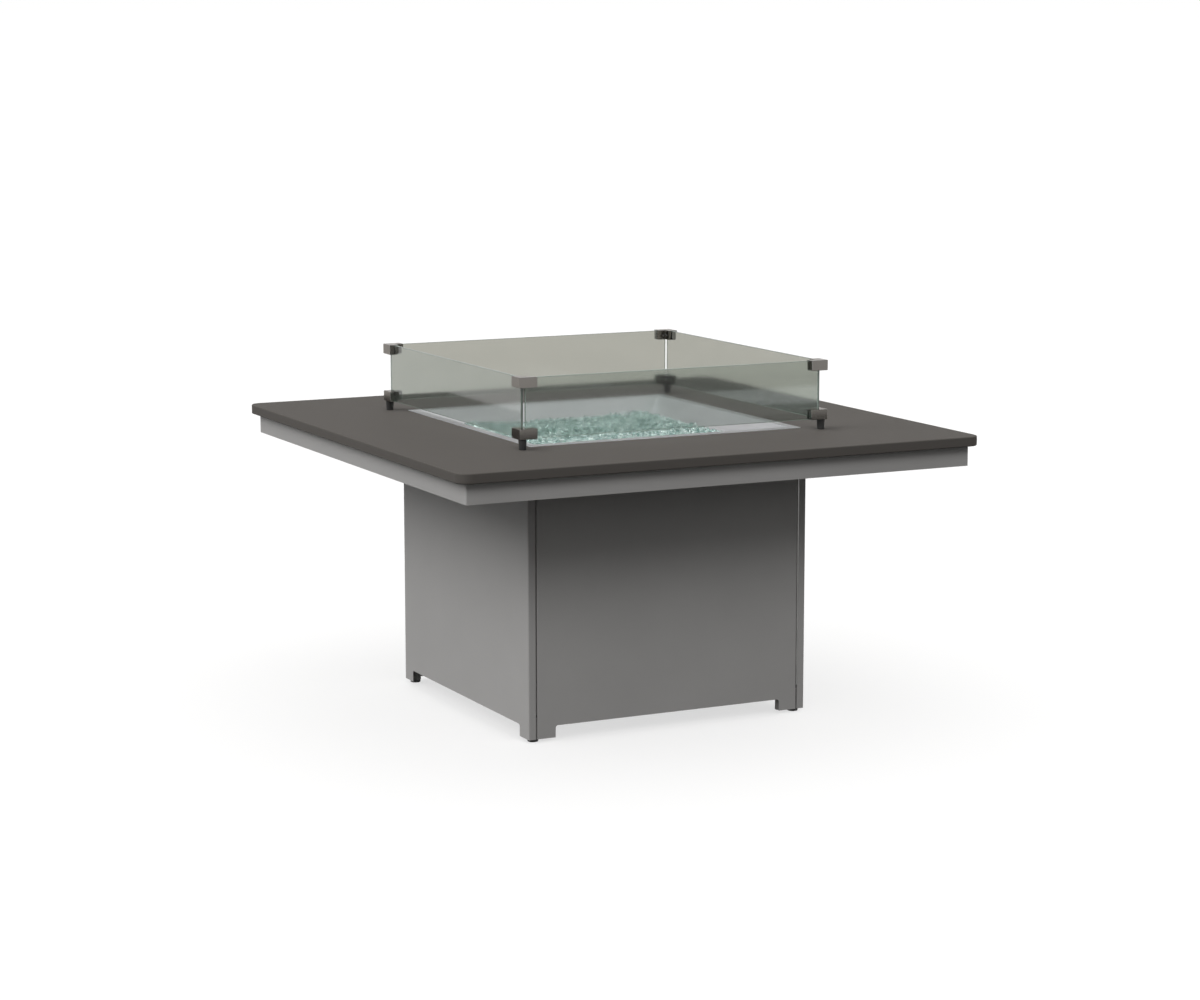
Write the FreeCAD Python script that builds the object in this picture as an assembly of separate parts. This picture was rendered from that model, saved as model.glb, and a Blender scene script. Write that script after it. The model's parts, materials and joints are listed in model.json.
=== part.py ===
import FreeCAD, Part
import math
import os

# Square gas fire table: a folded aluminium top on a welded apron frame, a sheet
# metal pedestal with a hinged door, a drop-in burner pan with crushed fire glass,
# and a lift-off guard of four glass panels in corner clips.
# Millimetres, +Z up, origin on the floor under the centre, door facing -Y.

V = FreeCAD.Vector
X_AXIS = V(1, 0, 0)
Y_AXIS = V(0, 1, 0)
Z_AXIS = V(0, 0, 1)
ORIGIN = V(0, 0, 0)
tiny = 1e-6

# ---------------------------------------------------------------- driving sizes
table_height = 711.0       # floor to the top surface
top_size = 1371.6          # side of the square top
top_thick = 24.0           # depth of the folded edge
top_sheet = 3.0
top_corner_radius = 32.0
top_edge_radius = 3.0
top_return = 45.0          # flange folded back under the edge
beyond = 1.0               # cutting solids pass this far beyond the faces they cut
near = 1.0                 # an edge this close to a face counts as lying on it

apron_inset = 23.3         # top edge to apron face
apron_height = 50.0
apron_depth = 25.0
apron_wall = 2.0
apron_corner_radius = 3.0

rail_size = 40.0           # square tube rails between apron and pedestal
rail_wall = 2.0

pedestal_size = 756.0
panel_sheet = 1.5
panel_corner_radius = 3.0
corner_strip = 20.0        # how far the side panels wrap on to the front and back
groove = 2.5               # gap between corner strip and door or back panel
jamb_depth = 34.0
return_depth = 18.0        # folded edges of the door and back panel
fold_radius = 2.5
notch_height = 29.0        # cut-outs that leave the four corner legs
notch_radius = 6.5
side_leg_width = 51.0
front_leg_width = 48.5
lintel_gap = 7.0           # door top to apron bottom
fold_lift = 66.0           # folded edges stop this far above the floor

foot_height = 8.0
foot_radius = 13.0
foot_inset = 20.0          # pedestal face to foot centre
sleeve_radius = 14.0
sleeve_wall = 1.5
sleeve_length = 49.0
stud_radius = 4.0
stud_length = 38.0
insert_length = 12.0
bracket_sheet = 3.0
bracket_length = 73.0
bracket_width = 36.5
bracket_setback = 3.5      # panel inner face to bracket plate
stud_clearance = 0.05      # radial running clearance
pad_round = 1.5

stile_radius = 13.5
stile_inset = 35.5         # door edge to stile centre
stile_length = 590.0

knuckle_radius = 1.8
hinge_pin_radius = 0.9
hinge_clearance = 0.05
hinge_leaf = 0.9
hinge_leaf_width = 14.0
knuckle_clearance = 0.32   # knuckle to the rounded panel edges beside it
hinge_low_margin = 4.0     # folded edge's lower end to the first knuckle
hinge_high_margin = 6.0
knuckle_count = 15
knuckle_gap = 0.3
knuckle_relief = 0.6       # leaf edge to knuckle surface

magnet_width = 18.0
magnet_depth = 12.0
magnet_height = 40.0
magnet_round = 1.0
magnet_gap = 3.1           # folded door edge to magnet face
strike_width = 18.0
strike_height = 32.0
strike_sheet = 1.0
strike_gap = 0.3           # strike to magnet face

shelf_sheet = 1.5
shelf_flange = 18.0
shelf_flange_inset = 12.0  # shelf corner to the end of its side flange
shelf_gap = 1.0
tank_collar_radius = 160.0
tank_collar_height = 30.0
tank_collar_wall = 2.0

pan_sheet = 1.5
pan_depth = 60.0
pan_inset = 33.0           # pedestal side to top of the pan's sloped wall
pan_slope = 1.257          # run per unit of fall of the sloped wall
pan_rim = 23.0             # width of the rim that rests on the top
pan_rim_corner = 4.0
pan_rim_round = 0.6
opening_clearance = 5.0    # pan wall to the edge of the cut-out
collar_return = 30.0
fill_drop = 35.0           # top surface down to the fire glass
fill_crown = 8.0
fill_crown_run = 60.0

burner_radius = 9.5
burner_wall = 1.5
cross_bar_step = 1.5       # cross bar slimmer than the ring by this radius
burner_margin = 44.5       # pan floor edge to burner tube centre
burner_lift = 2.0
burner_gap = 0.5           # fire glass kept off the burner
port_radius = 1.5
port_pitch = 45.0
port_slant = V(0, 1, 2)     # up and towards the middle
port_margin = 20.0         # tube corner to the zone with ports
hub_radius = 22.0
hub_height = 22.0
hub_socket = 10.0          # depth of the stem's thread in the hub
hub_wall = 3.0
stem_radius = 10.65
stem_wall = 2.6
stem_drop = 30.0           # pan floor to the lower end of the stem
stem_clearance = 0.8
locknut_radius = 18.0
locknut_height = 8.0

shield_sheet = 1.5
shield_drop = 15.0         # pan floor to heat shield
shield_margin = 30.0       # pan floor edge to heat shield edge
shield_lip = 10.0
shield_hole_gap = 4.0      # stem to the edge of the shield's hole
standoff_radius = 5.0
standoff_inset = 35.0

mixer_radius = 13.0
mixer_length = 40.0
mixer_port_radius = 8.0
mixer_port_length = 13.0
mixer_wall = 4.0
mixer_floor = 8.0
mixer_window_radius = 4.0
mixer_window_drop = 12.0
jet_radius = 2.0

control_width = 180.0
control_margin = 34.0      # knob centre to the lower edge of the control panel
control_corner = 6.0
control_flange = 14.0
control_setback = 42.0     # pedestal face to control panel face
control_offset = 48.0      # pedestal side to control panel edge
knob_offset = 90.0         # control panel edge to knob centre
button_offset = 150.0
knob_drop = 23.0           # heat shield's lower edge to knob centre
button_drop = 11.0
knob_radius = 19.0
knob_depth = 20.0
knob_skirt = 7.0
knob_step = 3.0            # skirt to the foot of the grip
knob_taper = 1.5
knob_round = 1.2
flute_count = 12
flute_radius = 1.4
flute_inset = 2.6
spindle_reach = 12.0       # spindle length inside the knob
spindle_seat = 19.0        # spindle length inside the valve
knob_gap = 2.0
spindle_radius = 3.0
spindle_clearance = 0.05
spindle_hole_radius = 6.0  # in the control panel
valve_width = 44.0
valve_depth = 38.5
valve_height = 42.0
valve_round = 4.0
valve_passage_radius = 3.0
valve_passage_start = 24.0
seat_end_gap = 1.0
outlet_radius = 7.0
outlet_length = 10.0
inlet_hex = 11.0
inlet_hex_height = 14.0
inlet_radius = 7.9
inlet_length = 18.0
inlet_bore_radius = 3.5
inlet_bore_depth = 26.0
gas_tube_radius = 5.0
gas_tube_bend = 80.0
button_radius = 7.0
button_clearance = 0.3
button_proud = 8.0
button_length = 16.0
housing_radius = 9.0
housing_length = 46.0
bezel_radius = 12.0
bezel_depth = 4.0
bezel_round = 1.0
button_round = 1.5
lead_radius = 1.5
lead_bend = 25.0
lead_bend_share = 0.9      # of the upright run that its last bend may take

pilot_offset_x = 195.0
pilot_margin = 24.5        # burner tube centre to pilot
electrode_radius = 3.0
electrode_tip_radius = 1.2
hood_radius = 11.0
hood_height = 42.0
hood_sheet = 1.2
hood_flange = 2.5
hood_clearance = 0.5
hood_round = 3.0
hood_hole_radius = 2.0
hood_hole_levels = (12.0, 20.0, 28.0, 36.0)
electrode_below = 8.0      # insulator under the pan
electrode_above = 18.0     # insulator above the pan floor
electrode_tip = 16.0

glass_thick = 6.0
glass_height = 144.5
glass_gap = 35.0           # pan rim edge to glass outer face
glass_end_gap = 2.0        # glass end to the plane of the next panel's inner face
glass_edge_radius = 1.0
clip_wall_outer = 12.0
clip_wall_inner = 6.5
clip_slot_clearance = 0.5
clip_leg = 45.5
clip_height = 25.0
clip_cap = 1.2
clip_radius = 2.5
clip_chamfer = 0.8
clip_cap_gap = 0.1
guard_foot_height = 24.7
guard_foot_top_radius = 10.0
guard_foot_base_radius = 8.75
guard_foot_round = 0.8
grub_radius = 2.5
grub_hex = 1.25
grub_from_corner = 30.0
grub_sunk = 0.4
grub_socket = 2.5

screw_radius = 2.5
screw_head_radius = 4.75
screw_head_height = 2.6
screw_head_round = 1.56
screw_length = 10.0
screw_socket_radius = 1.5
screw_socket_depth = 1.4
screw_inset = 11.0         # back panel edge to screw centre
screw_margin = 40.0        # end of a folded edge to the nearest screw
bolt_radius = 3.0
bolt_head_radius = 5.5
bolt_head_height = 5.0
bolt_inset = 12.0          # pedestal face to bolt centre
hole_clearance = 0.3

# ------------------------------------------------------------- derived stations
top_half = top_size / 2
top_under = table_height - top_thick
apron_half = top_half - apron_inset
apron_inner = apron_half - apron_depth
apron_bottom = top_under - apron_height
rail_bottom = top_under - rail_size

ped_half = pedestal_size / 2
ped_inner = ped_half - panel_sheet
leg_bottom = foot_height
panel_top = rail_bottom
strip_edge = ped_half - corner_strip
door_half = strip_edge - groove
door_top = apron_bottom - lintel_gap
notch_top = leg_bottom + notch_height
foot_at = ped_half - foot_inset
bracket_top = leg_bottom + sleeve_length + bracket_sheet
shelf_top = bracket_top + shelf_sheet
shelf_half_y = ped_half - jamb_depth - shelf_gap
hinge_x = strip_edge - groove / 2
knuckle_to_fold = fold_radius + knuckle_radius + knuckle_clearance
hinge_y = -ped_half + fold_radius - math.sqrt(knuckle_to_fold ** 2 - (groove / 2 + fold_radius) ** 2)

pan_top_half = ped_half - pan_inset
pan_floor = table_height - pan_depth
pan_floor_half = pan_top_half - pan_slope * pan_depth
pan_skew = pan_sheet * math.hypot(1, pan_slope)
pan_under = pan_floor - pan_sheet
rim_half = pan_top_half + pan_rim
opening_half = pan_top_half + opening_clearance

burner_half = pan_floor_half - burner_margin
burner_z = pan_floor + burner_lift + burner_radius
shield_half = pan_floor_half - shield_margin
shield_top = pan_under - shield_drop
shield_low = shield_top - shield_sheet - shield_lip
mixer_top = pan_floor - stem_drop
knob_z = shield_low - knob_drop
button_z = shield_low - button_drop
control_low = knob_z - control_margin
control_x = -ped_half + control_offset
control_y = -ped_half + control_setback
knob_x = control_x + knob_offset
button_x = control_x + button_offset
valve_back = control_y + panel_sheet + valve_depth
pilot_y = burner_half + pilot_margin

glass_outer = rim_half + glass_gap
glass_inner = glass_outer - glass_thick
glass_end = glass_inner - glass_end_gap
clip_outer = glass_outer + clip_wall_outer
clip_inner = glass_inner - clip_wall_inner
clip_low = table_height + guard_foot_height
glass_low = clip_low
glass_top = glass_low + glass_height
clip_high_top = glass_top + clip_cap
guard_foot_at = (clip_outer + clip_inner) / 2


# ---------------------------------------------------------------------- helpers
def block(x0, x1, y0, y1, z0, z1):
    """Box between two opposite corners, given in any order."""
    low = V(min(x0, x1), min(y0, y1), min(z0, z1))
    return Part.makeBox(abs(x1 - x0), abs(y1 - y0), abs(z1 - z0), low)


def square(half, z0, z1):
    """Square slab centred on the Z axis."""
    return block(-half, half, -half, half, z0, z1)


def rod(radius, base, axis, length):
    return Part.makeCylinder(radius, length, base, axis)


def hexagon(radius, base, height):
    """Hexagonal prism standing on base, radius to its corners."""
    corners = []
    for k in range(7):
        turn = math.radians(60 * k)
        corners.append(base + V(radius * math.cos(turn), radius * math.sin(turn), 0))
    return Part.Face(Part.makePolygon(corners)).extrude(V(0, 0, height))


def is_upright(edge):
    a, b = edge.Vertexes[0].Point, edge.Vertexes[-1].Point
    return a.distanceToPoint(b) > near / 2 and math.hypot(a.x - b.x, a.y - b.y) < tiny


def is_ring(edge):
    """True for a whole circle."""
    return len(edge.Vertexes) == 1


def fillet_where(shape, radius, test):
    """Round the edges whose middle point and edge pass the test."""
    chosen = [e for e in shape.Edges if test(e, e.BoundBox.Center)]
    return shape.makeFillet(radius, chosen)


def round_upright(shape, radius, place=None):
    """Round the upright edges, or those of them whose middle point passes."""
    return fillet_where(shape, radius, lambda e, c: is_upright(e) and (place is None or place(c)))


def round_ring(shape, radius, place):
    """Round the circular edges whose middle point passes."""
    return fillet_where(shape, radius, lambda e, c: is_ring(e) and place(c))


def rounded_square(half, radius, z0, z1):
    return round_upright(square(half, z0, z1), radius)


def square_frustum(half_low, half_high, z0, z1):
    wires = []
    for half, z in ((half_low, z0), (half_high, z1)):
        corners = [V(-half, -half, z), V(half, -half, z), V(half, half, z), V(-half, half, z)]
        wires.append(Part.makePolygon(corners + [corners[0]]))
    return Part.makeLoft(wires, True, True)


def quarter(z0, z1):
    """Wedge over the front quarter of the plan, bounded by the two diagonals."""
    far = top_size
    corners = [V(0, 0, z0), V(-far, -far, z0), V(far, -far, z0), V(0, 0, z0)]
    return Part.Face(Part.makePolygon(corners)).extrude(V(0, 0, z1 - z0))


def turned(shape, degrees):
    copy = shape.copy()
    copy.rotate(ORIGIN, Z_AXIS, degrees)
    return copy


def mirror_x(shape):
    return shape.mirror(ORIGIN, X_AXIS)


def mirror_y(shape):
    return shape.mirror(ORIGIN, Y_AXIS)


def four_corners(shape):
    """The shape and its mirror images in all four corners."""
    pair = [shape, mirror_x(shape)]
    return Part.makeCompound(pair + [mirror_y(s) for s in pair])


def tube_along(points, radius, bend):
    """Round bar along straight runs joined by tangent arcs of one bend radius."""
    edges = []
    start = points[0]
    for before, corner, after in zip(points, points[1:], points[2:]):
        arrive = (corner - before).normalize()
        leave = (after - corner).normalize()
        half_turn = arrive.getAngle(leave) / 2
        setback = bend * math.tan(half_turn)
        first = corner - arrive * setback
        last = corner + leave * setback
        inward = (leave - arrive).normalize()
        middle = corner + inward * (bend / math.cos(half_turn) - bend)
        edges.append(Part.LineSegment(start, first).toShape())
        edges.append(Part.Arc(first, middle, last).toShape())
        start = last
    edges.append(Part.LineSegment(start, points[-1]).toShape())
    direction = points[1] - points[0]
    ring = Part.Wire(Part.makeCircle(radius, points[0], direction))
    return Part.Wire(edges).makePipeShell([ring], True, True)


# ---------------------------------------------------------------- top and frame
def make_table_top():
    """Folded tray: plate, edge, flange under the edge, and a collar at the cut-out."""
    top = rounded_square(top_half, top_corner_radius, top_under, table_height)
    top = fillet_where(top, top_edge_radius, lambda e, c: not is_upright(e))
    inner_radius = top_corner_radius - top_sheet
    low, high = top_under + top_sheet, table_height - top_sheet
    top = top.cut(rounded_square(top_half - top_sheet, inner_radius, low, high))
    top = top.cut(square(top_half - top_return, top_under - beyond, low))
    collar = square(opening_half + collar_return, top_under, low)
    collar = collar.fuse(square(opening_half + top_sheet, top_under, high))
    return top.fuse(collar).cut(square(opening_half, top_under - beyond, table_height + beyond))


def make_aprons():
    """Welded ring of rectangular tube, mitred into four lengths."""
    ring = rounded_square(apron_half, apron_corner_radius, apron_bottom, top_under)
    ring = ring.cut(square(apron_inner, apron_bottom - beyond, top_under + beyond))
    low, high = apron_bottom + apron_wall, top_under - apron_wall
    bore = square(apron_half - apron_wall, low, high)
    ring = ring.cut(bore.cut(square(apron_inner + apron_wall, low, high)))
    names = ("apron_front", "apron_right", "apron_back", "apron_left")
    wedge = quarter(apron_bottom - beyond, top_under + beyond)
    return {name: ring.common(turned(wedge, 90 * k)) for k, name in enumerate(names)}


def square_tube(x0, x1, y0, y1, along_x):
    """Square tube rail between two points in plan, open at its ends."""
    outer = block(x0, x1, y0, y1, rail_bottom, top_under)
    low, high = rail_bottom + rail_wall, top_under - rail_wall
    if along_x:
        return outer.cut(block(x0, x1, y0 + rail_wall, y1 - rail_wall, low, high))
    return outer.cut(block(x0 + rail_wall, x1 - rail_wall, y0, y1, low, high))


def bolt_points():
    """Undersides of the side panel flanges, where bolts go up into the top."""
    x = ped_half - bolt_inset
    z = panel_top - panel_sheet
    return [V(sx * x, sy * ped_half / 2, z) for sx in (-1, 1) for sy in (-1, 1)]


def bolt_holes():
    reach = rail_size + panel_sheet + 2 * beyond
    radius = bolt_radius + hole_clearance
    holes = [rod(radius, point - Z_AXIS * beyond, Z_AXIS, reach) for point in bolt_points()]
    return Part.makeCompound(holes)


def make_rails():
    inner = ped_half - rail_size
    right = square_tube(inner, ped_half, -apron_inner, apron_inner, False)
    right = right.cut(bolt_holes())
    back = square_tube(-inner, inner, inner, ped_half, True)
    stub = square_tube(ped_half, apron_inner, inner, ped_half, True)
    return {
        "support_rail_right": right,
        "support_rail_left": mirror_x(right),
        "cross_rail_back": back,
        "cross_rail_front": mirror_y(back),
        "outrigger_rails": four_corners(stub),
    }


def make_top_bolts():
    """Bolts up through side panels and rails to the flange under the top."""
    bolts = []
    for point in bolt_points():
        shank = rod(bolt_radius, point, Z_AXIS, rail_size + panel_sheet)
        head = rod(bolt_head_radius, point - Z_AXIS * bolt_head_height, Z_AXIS, bolt_head_height)
        bolts.append(shank.fuse(head))
    return Part.makeCompound(bolts)


# --------------------------------------------------------------------- pedestal
def arch(half_width, y0, y1):
    """Cut-out with rounded upper corners, for the foot of a panel facing -Y."""
    cut = block(-half_width, half_width, y0, y1, leg_bottom - beyond, notch_top)

    def upper_corner(edge, middle):
        return middle.z > notch_top - tiny and abs(middle.x) > half_width - tiny

    return fillet_where(cut, notch_radius, upper_corner)


def wrapped_side(strip, face, half_y, low, high, corner, fold):
    """Solid block of a side panel, its pedestal corners and folded edges rounded."""
    body = block(strip, face, -half_y, half_y, low, high)
    body = round_upright(body, corner, lambda c: c.x > face - near)
    return round_upright(body, fold, lambda c: c.x < strip + near)


def make_side_panel_right():
    """Side sheet that wraps both corners and folds in to form the jambs."""
    outer = wrapped_side(
        strip_edge, ped_half, ped_half, leg_bottom, panel_top, panel_corner_radius, fold_radius
    )
    hollow_low, hollow_top = leg_bottom - beyond, panel_top - panel_sheet
    inner = wrapped_side(
        strip_edge + panel_sheet, ped_inner, ped_inner, hollow_low, hollow_top,
        panel_corner_radius - panel_sheet, fold_radius - panel_sheet,
    )
    panel = outer.cut(inner)
    jamb = ped_half - jamb_depth
    jamb_gap = block(strip_edge - beyond, strip_edge + panel_sheet, -jamb, jamb, 0, hollow_top)
    fold_end = ped_inner - panel_corner_radius
    leg_gap = block(strip_edge - beyond, fold_end, -ped_inner, ped_inner, 0, fold_lift)
    notch = arch(ped_half - side_leg_width, -ped_half - beyond, -ped_inner + panel_sheet)
    return panel.cut([jamb_gap, leg_gap, turned(notch, 90), bolt_holes()])


def folded_block(half_x, front, back, low, high, fold):
    """Solid block facing -Y with its front upright edges rounded."""
    body = block(-half_x, half_x, front, back, low, high)
    return round_upright(body, fold, lambda c: c.y < front + near)


def folded_panel(bottom, top, has_legs):
    """Sheet facing -Y between the corner strips, its edges folded in."""
    back = -ped_half + return_depth
    skin = folded_block(door_half, -ped_half, back, bottom, top, fold_radius)
    floor = bottom - beyond if has_legs else bottom + panel_sheet
    inner_half, inner_top = door_half - panel_sheet, top - panel_sheet
    inner_fold = fold_radius - panel_sheet
    skin = skin.cut(folded_block(inner_half, -ped_inner, back + beyond, floor, inner_top, inner_fold))
    if not has_legs:
        return skin
    wide = door_half + beyond
    skin = skin.cut(block(-wide, wide, -ped_inner, 0, 0, fold_lift))
    return skin.cut(arch(door_half - front_leg_width, -ped_half - beyond, -ped_inner + beyond))


def back_screw_points():
    x = door_half - screw_inset
    low, high = fold_lift + screw_margin, panel_top - screw_margin
    middle = (fold_lift + panel_top) / 2
    return [V(side * x, ped_half, z) for side in (-1, 1) for z in (low, middle, high)]


def make_back_panel():
    panel = mirror_y(folded_panel(leg_bottom, panel_top, True))
    reach = panel_sheet + 2 * beyond
    for point in back_screw_points():
        panel = panel.cut(rod(screw_radius + hole_clearance, point + Y_AXIS * beyond, -Y_AXIS, reach))
    return panel


def make_back_screws():
    screws = []
    for point in back_screw_points():
        screw = rod(screw_radius, point, -Y_AXIS, screw_length)
        head = rod(screw_head_radius, point, Y_AXIS, screw_head_height)
        head = round_ring(head, screw_head_round, lambda c: c.y > ped_half + near)
        crown = point + Y_AXIS * screw_head_height
        socket = rod(screw_socket_radius, crown, -Y_AXIS, screw_socket_depth)
        screws.append(screw.fuse(head).cut(socket))
    return Part.makeCompound(screws)


def make_stile(side):
    """Round tube welded up the back of the door."""
    base = V(side * (door_half - stile_inset), -ped_inner + stile_radius, leg_bottom)
    tube = rod(stile_radius, base, Z_AXIS, stile_length)
    return tube.cut(rod(stile_radius - panel_sheet, base, Z_AXIS, stile_length))


def hinge_spans():
    """Lower and upper ends of the knuckles, which alternate between the leaves."""
    low, high = fold_lift + hinge_low_margin, door_top - hinge_high_margin
    pitch = (high - low) / knuckle_count
    starts = [low + k * pitch for k in range(knuckle_count)]
    return [(start, start + pitch - knuckle_gap) for start in starts]


def hinge_leaf_with(parity, x0, x1):
    spans = hinge_spans()
    edge = hinge_y + knuckle_radius + knuckle_relief
    leaf = block(x0, x1, edge, edge + hinge_leaf_width, spans[0][0], spans[-1][1])
    bore = rod(hinge_pin_radius + hinge_clearance, V(hinge_x, hinge_y, 0), Z_AXIS, table_height)
    for low, high in spans[parity::2]:
        knuckle = rod(knuckle_radius, V(hinge_x, hinge_y, low), Z_AXIS, high - low)
        tab = block(x0, x1, hinge_y, edge, low, high)
        leaf = leaf.fuse([knuckle, tab])
    return leaf.cut(bore)


def make_hinge():
    spans = hinge_spans()
    length = spans[-1][1] - spans[0][0]
    return {
        "hinge_leaf_fixed": hinge_leaf_with(0, strip_edge - hinge_leaf, strip_edge),
        "hinge_leaf_door": hinge_leaf_with(1, door_half, door_half + hinge_leaf),
        "hinge_pin": rod(hinge_pin_radius, V(hinge_x, hinge_y, spans[0][0]), Z_AXIS, length),
    }


def make_door_catch():
    """Magnet on the left jamb and the steel strike on the door's folded edge."""
    middle = (leg_bottom + door_top) / 2
    face = -ped_half + return_depth + magnet_gap
    low, high = middle - magnet_height / 2, middle + magnet_height / 2
    magnet = block(-strip_edge, -strip_edge + magnet_width, face, face + magnet_depth, low, high)
    magnet = round_upright(magnet, magnet_round, lambda c: c.x > -strip_edge + near)
    inner = -door_half + panel_sheet
    back = face - strike_gap
    low, high = middle - strike_height / 2, middle + strike_height / 2
    arm = block(inner, inner + strike_sheet, -ped_inner + fold_radius, back, low, high)
    plate = block(inner, inner + strike_width, back - strike_sheet, back, low, high)
    return {"catch_magnet": magnet, "catch_strike": arm.fuse(plate)}


# ------------------------------------------------------------ feet, shelf, tank
def foot_point(side_x, side_y, z):
    return V(side_x * foot_at, side_y * foot_at, z)


def make_foot_brackets():
    """Sleeve welded under a plate that ties shelf and side panel together."""
    under = bracket_top - bracket_sheet
    front = -ped_inner + bracket_setback
    side, back = ped_inner - bracket_width, front + bracket_length
    plate = block(side, ped_inner, front, back, under, bracket_top)
    sleeve = rod(sleeve_radius, foot_point(1, -1, leg_bottom), Z_AXIS, sleeve_length)
    bore = rod(sleeve_radius - sleeve_wall, foot_point(1, -1, leg_bottom), Z_AXIS, sleeve_length)
    return four_corners(plate.fuse(sleeve).cut(bore))


def make_foot_inserts():
    """Threaded plugs in the lower ends of the sleeves."""
    plug = rod(sleeve_radius - sleeve_wall, foot_point(1, -1, leg_bottom), Z_AXIS, insert_length)
    bore = rod(stud_radius + stud_clearance, foot_point(1, -1, leg_bottom), Z_AXIS, insert_length)
    return four_corners(plug.cut(bore))


def make_levelling_foot(side_x, side_y):
    pad = rod(foot_radius, foot_point(side_x, side_y, 0), Z_AXIS, foot_height)
    pad = round_ring(pad, pad_round, lambda c: c.z < near)
    stud = rod(stud_radius, foot_point(side_x, side_y, foot_height), Z_AXIS, stud_length)
    return pad.fuse(stud)


def make_tank_shelf():
    """Shelf plate with turned-up sides and turned-down front and back."""
    low = bracket_top
    shelf = block(-ped_inner, ped_inner, -shelf_half_y, shelf_half_y, low, shelf_top)
    flange_end = shelf_half_y - shelf_flange_inset
    lip_end = ped_inner - bracket_width - shelf_gap
    for side in (-1, 1):
        edge, inner = side * ped_inner, side * (ped_inner - shelf_sheet)
        shelf = shelf.fuse(block(edge, inner, -flange_end, flange_end, low, low + shelf_flange))
        edge, inner = side * shelf_half_y, side * (shelf_half_y - shelf_sheet)
        shelf = shelf.fuse(block(-lip_end, lip_end, edge, inner, low - shelf_flange, low))
    return shelf


def make_tank_collar():
    base = V(0, 0, shelf_top)
    ring = rod(tank_collar_radius, base, Z_AXIS, tank_collar_height)
    return ring.cut(rod(tank_collar_radius - tank_collar_wall, base, Z_AXIS, tank_collar_height))


# ------------------------------------------------------------- pan and gas side
def make_burner_pan():
    """Flat floor and four mitred sides, each a sloped wall with its length of rim."""
    low, rim_top = pan_floor, table_height + pan_sheet
    outer = square_frustum(pan_floor_half + pan_skew, pan_top_half + pan_skew, low, table_height)
    rim = rounded_square(rim_half, pan_rim_corner, table_height, rim_top)
    rim = fillet_where(rim, pan_rim_round, lambda e, c: not is_upright(e) and c.z > rim_top - tiny)
    inner = square_frustum(pan_floor_half, pan_top_half, low, table_height)
    mouth = square(pan_top_half, table_height, rim_top + beyond)
    shell = outer.fuse(rim).cut([inner, mouth])
    wedge = quarter(low - beyond, rim_top + beyond)
    sides = [shell.common(turned(wedge, 90 * k)) for k in range(4)]
    under, through = pan_under - beyond, pan_sheet + 2 * beyond
    stem_hole = rod(stem_radius + stem_clearance, V(0, 0, under), Z_AXIS, through)
    spark_hole = rod(electrode_radius, V(pilot_offset_x, pilot_y, under), Z_AXIS, through)
    floor = square(pan_floor_half + pan_skew, pan_under, low).cut([stem_hole, spark_hole])
    return Part.makeCompound(floor.Solids + [solid for side in sides for solid in side.Solids])


def burner_bars(radius):
    """Mitred square ring of round bar with one bar across its middle."""
    reach = burner_half + 2 * burner_radius
    bar = rod(radius, V(-reach, -burner_half, burner_z), X_AXIS, 2 * reach)
    bar = bar.common(quarter(burner_z - 2 * radius, burner_z + 2 * radius))
    sides = [turned(bar, 90 * k) for k in range(4)]
    across = rod(radius - cross_bar_step, V(-burner_half, 0, burner_z), X_AXIS, 2 * burner_half)
    return sides[0].fuse(sides[1:] + [across])


def burner_ports():
    """Gas ports along the upper inner side of the ring."""
    ports = []
    count = int(2 * (burner_half - port_margin) / port_pitch)
    for k in range(count + 1):
        along = (k - count / 2) * port_pitch
        hole = rod(port_radius, V(along, -burner_half, burner_z), port_slant, burner_radius * 2)
        ports += [turned(hole, 90 * n) for n in range(4)]
    return Part.makeCompound(ports)


def make_burner():
    hub_base = V(0, 0, pan_floor)
    hub = rod(hub_radius, hub_base, Z_AXIS, hub_height)
    burner = burner_bars(burner_radius).fuse(hub)
    socket = rod(stem_radius, hub_base, Z_AXIS, hub_socket)
    bore = rod(stem_radius - hub_wall, hub_base, Z_AXIS, hub_height - hub_wall)
    passage = burner_bars(burner_radius - burner_wall).fuse([bore, socket])
    return burner.cut(passage).cut(burner_ports())


def make_burner_stem():
    """Gas pipe from the mixer up to the hub, through the pan floor."""
    base = V(0, 0, mixer_top)
    length = stem_drop + hub_socket
    stem = rod(stem_radius, base, Z_AXIS, length)
    return stem.cut(rod(stem_radius - stem_wall, base, Z_AXIS, length))


def make_stem_locknut():
    base = V(0, 0, pan_under - locknut_height)
    nut = hexagon(locknut_radius, base, locknut_height)
    return nut.cut(rod(stem_radius, base, Z_AXIS, locknut_height))


def make_heat_shield():
    """Plate with turned-down edges, open round the stem."""
    under = shield_top - shield_sheet
    shield = square(shield_half, shield_low, shield_top)
    shield = shield.cut(square(shield_half - shield_sheet, shield_low, under))
    hole = stem_radius + shield_hole_gap
    return shield.cut(rod(hole, V(0, 0, under - beyond), Z_AXIS, shield_sheet + 2 * beyond))


def make_shield_standoffs():
    place = shield_half - standoff_inset
    post = rod(standoff_radius, V(place, -place, shield_top), Z_AXIS, shield_drop)
    return four_corners(post)


def make_air_mixer():
    """Brass body with air windows, fed from the side by the gas tube."""
    base = V(0, 0, mixer_top - mixer_length)
    body = rod(mixer_radius, base, Z_AXIS, mixer_length)
    body = body.cut(rod(mixer_radius - mixer_wall, base + Z_AXIS * mixer_floor, Z_AXIS, mixer_length))
    across = mixer_radius + beyond
    for axis in (X_AXIS, Y_AXIS):
        start = V(0, 0, mixer_top - mixer_window_drop) - axis * across
        body = body.cut(rod(mixer_window_radius, start, axis, 2 * across))
    inlet = V(-mixer_radius - mixer_port_length, 0, knob_z)
    port = rod(mixer_port_radius, inlet, X_AXIS, mixer_port_length + mixer_wall)
    jet = rod(jet_radius, inlet, X_AXIS, mixer_port_length + 2 * mixer_wall)
    return body.fuse(port).cut(jet)


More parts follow.
